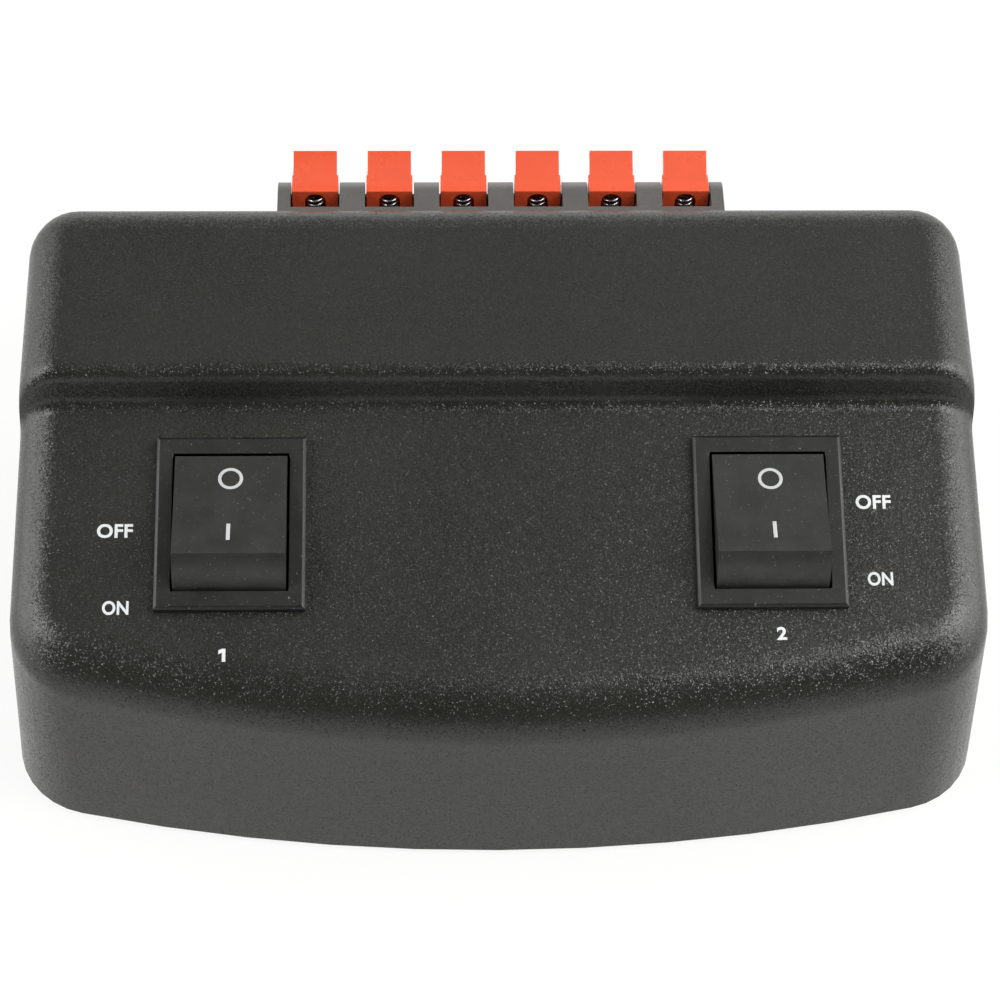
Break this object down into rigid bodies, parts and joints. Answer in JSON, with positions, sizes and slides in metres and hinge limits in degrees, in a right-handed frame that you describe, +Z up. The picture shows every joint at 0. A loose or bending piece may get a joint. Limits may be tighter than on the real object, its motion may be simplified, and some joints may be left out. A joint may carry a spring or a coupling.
{
  "type": "speaker selector switch",
  "caption": "Desk-top loudspeaker selector with rocker switches on a sloping panel and spring wire terminals on its rear wall.",
  "frame": {"origin": "centre of the bounding box's bottom, on the surface that the feet stand on", "axes": "+X to the right seen from the front, +Y to the rear with the wire terminals, +Z up"},
  "size_m": [0.17, 0.1132, 0.0694],
  "materials": {
    "case_plastic": "fine grain, satin",
    "base_plastic": "matt",
    "block_plastic": "satin",
    "switch_plastic": "satin",
    "rocker_plastic": "satin",
    "lever_red": "glossy",
    "lever_black": "glossy",
    "plunger_nylon": "smooth",
    "foot_rubber": "matt",
    "screw_steel": "zinc plated",
    "spring_steel": "drawn wire",
    "contact_brass": "stamped",
    "contact_copper": "stamped",
    "wire_red": "smooth insulation",
    "wire_yellow": "smooth insulation",
    "wire_black": "smooth insulation"
  },
  "bodies": {
    "case": {"top_cover": "case_plastic", "base_plate": "base_plastic", "base_screws": "screw_steel", "rubber_feet": "foot_rubber", "terminal_housing": "block_plastic", "terminal_screws": "screw_steel", "contact_strips_red": "contact_brass", "contact_strips_black": "contact_brass", "switch_body_1": "switch_plastic", "switch_body_2": "switch_plastic", "switch_blades_1": "contact_brass", "switch_blades_2": "contact_brass", "wires_input": "wire_red", "wires_link": "wire_red", "wires_output_1": "wire_yellow", "wires_output_2": "wire_yellow", "wires_return": "wire_black", "lever_red_spring_1": "spring_steel", "lever_red_spring_2": "spring_steel", "lever_red_spring_3": "spring_steel", "lever_red_spring_4": "spring_steel", "lever_red_spring_5": "spring_steel", "lever_red_spring_6": "spring_steel", "lever_black_spring_1": "spring_steel", "lever_black_spring_2": "spring_steel", "lever_black_spring_3": "spring_steel", "lever_black_spring_4": "spring_steel", "lever_black_spring_5": "spring_steel", "lever_black_spring_6": "spring_steel"},
    "paddle_1": {"rocker_1": "rocker_plastic", "rocker_plungers_1": "plunger_nylon", "plunger_springs_1": "spring_steel"},
    "bridges_1": {"contact_bridges_1": "contact_copper"},
    "paddle_2": {"rocker_2": "rocker_plastic", "rocker_plungers_2": "plunger_nylon", "plunger_springs_2": "spring_steel"},
    "bridges_2": {"contact_bridges_2": "contact_copper"},
    "red_lever_1": {"lever_red_1": "lever_red"},
    "red_lever_2": {"lever_red_2": "lever_red"},
    "red_lever_3": {"lever_red_3": "lever_red"},
    "red_lever_4": {"lever_red_4": "lever_red"},
    "red_lever_5": {"lever_red_5": "lever_red"},
    "red_lever_6": {"lever_red_6": "lever_red"},
    "black_lever_1": {"lever_black_1": "lever_black"},
    "black_lever_2": {"lever_black_2": "lever_black"},
    "black_lever_3": {"lever_black_3": "lever_black"},
    "black_lever_4": {"lever_black_4": "lever_black"},
    "black_lever_5": {"lever_black_5": "lever_black"},
    "black_lever_6": {"lever_black_6": "lever_black"}
  },
  "joints": [
    {"name": "rocker_1_tip", "type": "hinge", "parent": "case", "child": "paddle_1", "pos_m": [-0.0457, -0.02126, 0.04743], "axis": [1, 0, 0], "range_deg": [0, 29]},
    {"name": "bridges_1_rock", "type": "hinge", "parent": "case", "child": "bridges_1", "pos_m": [-0.0457, -0.01781, 0.03682], "axis": [1, 0, 0], "range_deg": [-10, 0]},
    {"name": "rocker_2_tip", "type": "hinge", "parent": "case", "child": "paddle_2", "pos_m": [0.0457, -0.02126, 0.04743], "axis": [1, 0, 0], "range_deg": [0, 29]},
    {"name": "bridges_2_rock", "type": "hinge", "parent": "case", "child": "bridges_2", "pos_m": [0.0457, -0.01781, 0.03682], "axis": [1, 0, 0], "range_deg": [-10, 0]},
    {"name": "lever_red_1_press", "type": "slide", "parent": "case", "child": "red_lever_1", "axis": [0, 0, -1], "range_m": [0, 0.003], "stiffness_N_per_m": 600, "springref_m": -0.003, "deforming": ["lever_red_spring_1"]},
    {"name": "lever_red_2_press", "type": "slide", "parent": "case", "child": "red_lever_2", "axis": [0, 0, -1], "range_m": [0, 0.003], "stiffness_N_per_m": 600, "springref_m": -0.003, "deforming": ["lever_red_spring_2"]},
    {"name": "lever_red_3_press", "type": "slide", "parent": "case", "child": "red_lever_3", "axis": [0, 0, -1], "range_m": [0, 0.003], "stiffness_N_per_m": 600, "springref_m": -0.003, "deforming": ["lever_red_spring_3"]},
    {"name": "lever_red_4_press", "type": "slide", "parent": "case", "child": "red_lever_4", "axis": [0, 0, -1], "range_m": [0, 0.003], "stiffness_N_per_m": 600, "springref_m": -0.003, "deforming": ["lever_red_spring_4"]},
    {"name": "lever_red_5_press", "type": "slide", "parent": "case", "child": "red_lever_5", "axis": [0, 0, -1], "range_m": [0, 0.003], "stiffness_N_per_m": 600, "springref_m": -0.003, "deforming": ["lever_red_spring_5"]},
    {"name": "lever_red_6_press", "type": "slide", "parent": "case", "child": "red_lever_6", "axis": [0, 0, -1], "range_m": [0, 0.003], "stiffness_N_per_m": 600, "springref_m": -0.003, "deforming": ["lever_red_spring_6"]},
    {"name": "lever_black_1_press", "type": "slide", "parent": "case", "child": "black_lever_1", "axis": [0, 0, 1], "range_m": [0, 0.003], "stiffness_N_per_m": 600, "springref_m": -0.003, "deforming": ["lever_black_spring_1"]},
    {"name": "lever_black_2_press", "type": "slide", "parent": "case", "child": "black_lever_2", "axis": [0, 0, 1], "range_m": [0, 0.003], "stiffness_N_per_m": 600, "springref_m": -0.003, "deforming": ["lever_black_spring_2"]},
    {"name": "lever_black_3_press", "type": "slide", "parent": "case", "child": "black_lever_3", "axis": [0, 0, 1], "range_m": [0, 0.003], "stiffness_N_per_m": 600, "springref_m": -0.003, "deforming": ["lever_black_spring_3"]},
    {"name": "lever_black_4_press", "type": "slide", "parent": "case", "child": "black_lever_4", "axis": [0, 0, 1], "range_m": [0, 0.003], "stiffness_N_per_m": 600, "springref_m": -0.003, "deforming": ["lever_black_spring_4"]},
    {"name": "lever_black_5_press", "type": "slide", "parent": "case", "child": "black_lever_5", "axis": [0, 0, 1], "range_m": [0, 0.003], "stiffness_N_per_m": 600, "springref_m": -0.003, "deforming": ["lever_black_spring_5"]},
    {"name": "lever_black_6_press", "type": "slide", "parent": "case", "child": "black_lever_6", "axis": [0, 0, 1], "range_m": [0, 0.003], "stiffness_N_per_m": 600, "springref_m": -0.003, "deforming": ["lever_black_spring_6"]}
  ],
  "couplings": [
    {"joint": "bridges_1_rock", "follows": "rocker_1_tip", "ratio": -0.34483},
    {"joint": "bridges_2_rock", "follows": "rocker_2_tip", "ratio": -0.34483}
  ]
}
